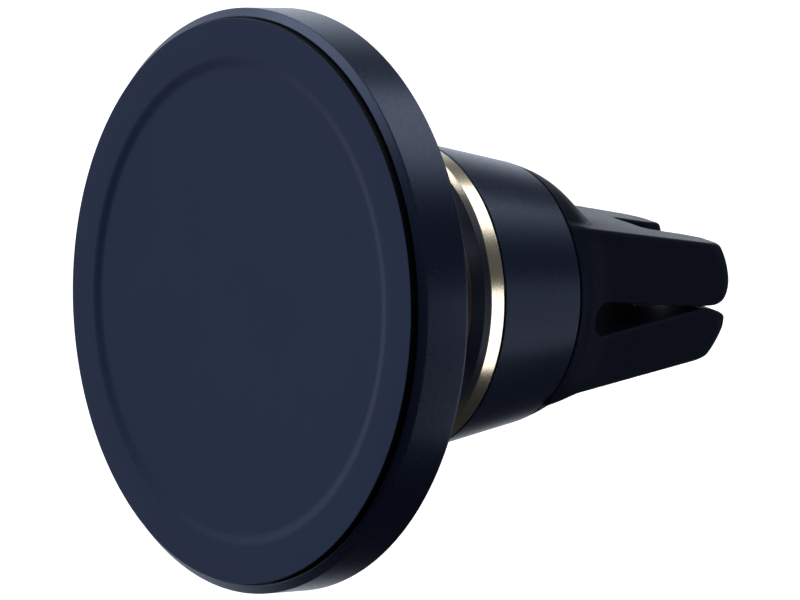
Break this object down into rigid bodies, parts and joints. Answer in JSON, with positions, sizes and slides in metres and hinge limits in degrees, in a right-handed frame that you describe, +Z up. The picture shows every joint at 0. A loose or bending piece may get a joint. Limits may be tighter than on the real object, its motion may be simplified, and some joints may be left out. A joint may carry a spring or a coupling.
{
  "type": "magnetic vent phone mount",
  "caption": "Round magnetic phone mount head on a ball joint with a lock collar and a silicone-covered two-jaw clip that grips a car's air vent blade.",
  "frame": {"origin": "on the stem axis at the nip of the blade slot between the two clip jaws", "axes": "+Y along the stem from the phone face towards the vent, +Z up across the two jaws, +X across the clip's width"},
  "size_m": [0.058, 0.06, 0.058],
  "materials": {
    "pad_silicone": "matte",
    "adhesive_film": "matte",
    "navy_aluminium": "satin",
    "black_nylon": "matte",
    "nickel_magnet": "satin",
    "plain_steel": "satin",
    "bush_nylon": "satin",
    "black_steel": "satin",
    "spring_steel": "satin",
    "acetal": "satin",
    "gold_aluminium": "polished",
    "black_rubber": "matte",
    "soft_silicone": "matte"
  },
  "bodies": {
    "clip": {"socket_core": "black_nylon", "pressure_pad": "acetal", "seat_spring": "spring_steel", "retaining_ring": "spring_steel", "collar_o_ring": "black_rubber", "collar_washer": "bush_nylon", "flange_boot": "soft_silicone"},
    "trim": {"trim_ring": "gold_aluminium", "collar_gasket": "black_rubber"},
    "collar": {"lock_collar": "navy_aluminium"},
    "liner": {"ball_liner": "acetal"},
    "ball": {"ball_stud": "black_steel", "stud_nut": "plain_steel", "disc_spring": "spring_steel"},
    "head": {"front_pad": "pad_silicone", "pad_adhesive": "adhesive_film", "head_shell": "navy_aluminium", "magnet_tray": "black_nylon", "ring_magnets": "nickel_magnet", "shunt_ring": "plain_steel", "tray_screws": "plain_steel", "swivel_bush": "bush_nylon"},
    "upper_jaw": {"upper_jaw_sleeve": "soft_silicone", "upper_jaw_core": "black_nylon"},
    "lower_jaw": {"lower_jaw_sleeve": "soft_silicone", "lower_jaw_core": "black_nylon"}
  },
  "joints": [
    {"name": "collar_travel", "type": "slide", "parent": "clip", "child": "trim", "axis": [0, -1, 0], "range_m": [0, 0.000334]},
    {"name": "collar_turn", "type": "hinge", "parent": "trim", "child": "collar", "pos_m": [0, -0.028, 0], "axis": [0, -1, 0], "range_deg": [0, 120]},
    {"name": "ball_pan", "type": "hinge", "parent": "clip", "child": "liner", "pos_m": [0, -0.031, 0], "axis": [0, 0, 1], "range_deg": [-18, 18]},
    {"name": "ball_tilt", "type": "hinge", "parent": "liner", "child": "ball", "pos_m": [0, -0.031, 0], "axis": [1, 0, 0], "range_deg": [-18, 18]},
    {"name": "head_swivel", "type": "hinge", "parent": "ball", "child": "head", "pos_m": [0, -0.048, 0], "axis": [0, -1, 0], "continuous": true},
    {"name": "upper_jaw_flex", "type": "hinge", "parent": "clip", "child": "upper_jaw", "pos_m": [0, -0.0168, 0.007], "axis": [1, 0, 0], "range_deg": [0, 3.5], "stiffness_Nm_per_rad": 2},
    {"name": "lower_jaw_flex", "type": "hinge", "parent": "clip", "child": "lower_jaw", "pos_m": [0, -0.0168, -0.007], "axis": [-1, 0, 0], "range_deg": [0, 3.5], "stiffness_Nm_per_rad": 2}
  ],
  "couplings": [
    {"joint": "collar_travel", "follows": "collar_turn", "m_per_rad": 0.00015915}
  ]
}
